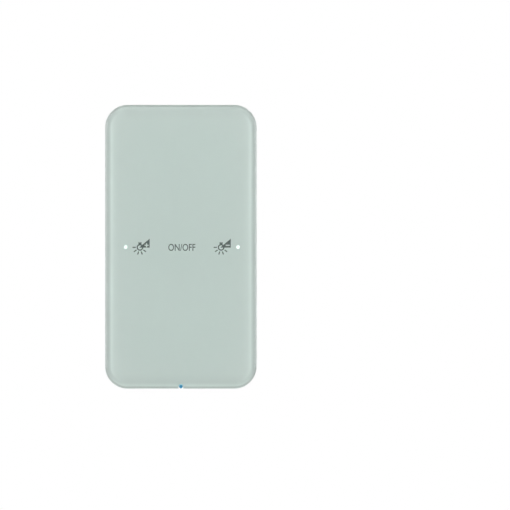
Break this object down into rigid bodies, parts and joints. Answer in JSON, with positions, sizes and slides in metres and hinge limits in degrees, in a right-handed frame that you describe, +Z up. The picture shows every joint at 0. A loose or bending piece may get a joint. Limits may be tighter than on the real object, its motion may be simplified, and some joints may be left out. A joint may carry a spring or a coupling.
{
  "type": "glass touch switch",
  "caption": "Wall-mounted touch switch: a bevelled rounded glass front with two status lights, on a steel wall plate, with a coupler for the wall box behind it.",
  "frame": {"origin": "midway between the two box-screw slots, on the plane of the wall", "axes": "+Z up along the long side of the glass, -Y towards the room, +Y into the wall, +X to the right seen from the room"},
  "size_m": [0.0814, 0.0328, 0.1524],
  "materials": {
    "front_glass": "clear float glass, polished, bevelled edge",
    "printed_film": "pale grey-green coat seen through the glass",
    "white_tape": "white foam tape",
    "frame_plastic": "light grey moulded, fine texture",
    "circuit_board": "green solder mask",
    "light_diffuser": "milky diffuser",
    "blue_light_guide": "blue light guide",
    "led_package": "white package with a clear lens",
    "chip_resin": "black moulded resin",
    "chip_ceramic": "fired ceramic with tinned ends",
    "choke_ferrite": "sintered ferrite",
    "connector_plastic": "black moulded",
    "gold_contacts": "gold plated",
    "cover_plastic": "light grey moulded",
    "screw_steel": "zinc plated",
    "plate_steel": "zinc plated sheet",
    "housing_plastic": "dark grey moulded, fine texture",
    "capacitor_can": "drawn can",
    "pin_steel": "tin plated",
    "terminal_red": "red moulded",
    "terminal_grey": "dark grey moulded",
    "switch_plastic": "black moulded",
    "button_plastic": "white moulded",
    "red_led": "red tinted clear"
  },
  "bodies": {
    "switch": {"glass_front": "front_glass", "print_film": "printed_film", "bonding_tape": "white_tape", "module_frame": "frame_plastic", "sensor_board": "circuit_board", "left_light_guide": "light_diffuser", "right_light_guide": "light_diffuser", "power_light_guide": "blue_light_guide", "left_status_led": "led_package", "right_status_led": "led_package", "power_led": "led_package", "touch_controller": "chip_resin", "chip_capacitors": "chip_ceramic", "plug_header": "connector_plastic", "header_pins": "gold_contacts", "rear_cover": "cover_plastic", "cover_screws": "screw_steel", "wall_plate": "plate_steel", "lock_screw": "screw_steel", "coupler_housing": "housing_plastic", "coupler_screws": "screw_steel", "coupler_board": "circuit_board", "plug_socket": "connector_plastic", "bus_transceiver": "chip_resin", "logic_chip": "chip_resin", "supply_choke": "choke_ferrite", "buffer_capacitor": "capacitor_can", "bus_pins": "pin_steel", "bus_terminal_red": "terminal_red", "bus_terminal_grey": "terminal_grey", "programming_switch": "switch_plastic", "programming_led": "red_led"},
    "programming_button": {"programming_button": "button_plastic"}
  },
  "joints": [
    {"name": "button_press", "type": "slide", "parent": "switch", "child": "programming_button", "axis": [0, -1, 0], "range_m": [0, 0.0004], "stiffness_N_per_m": 800, "springref_m": -0.001}
  ]
}
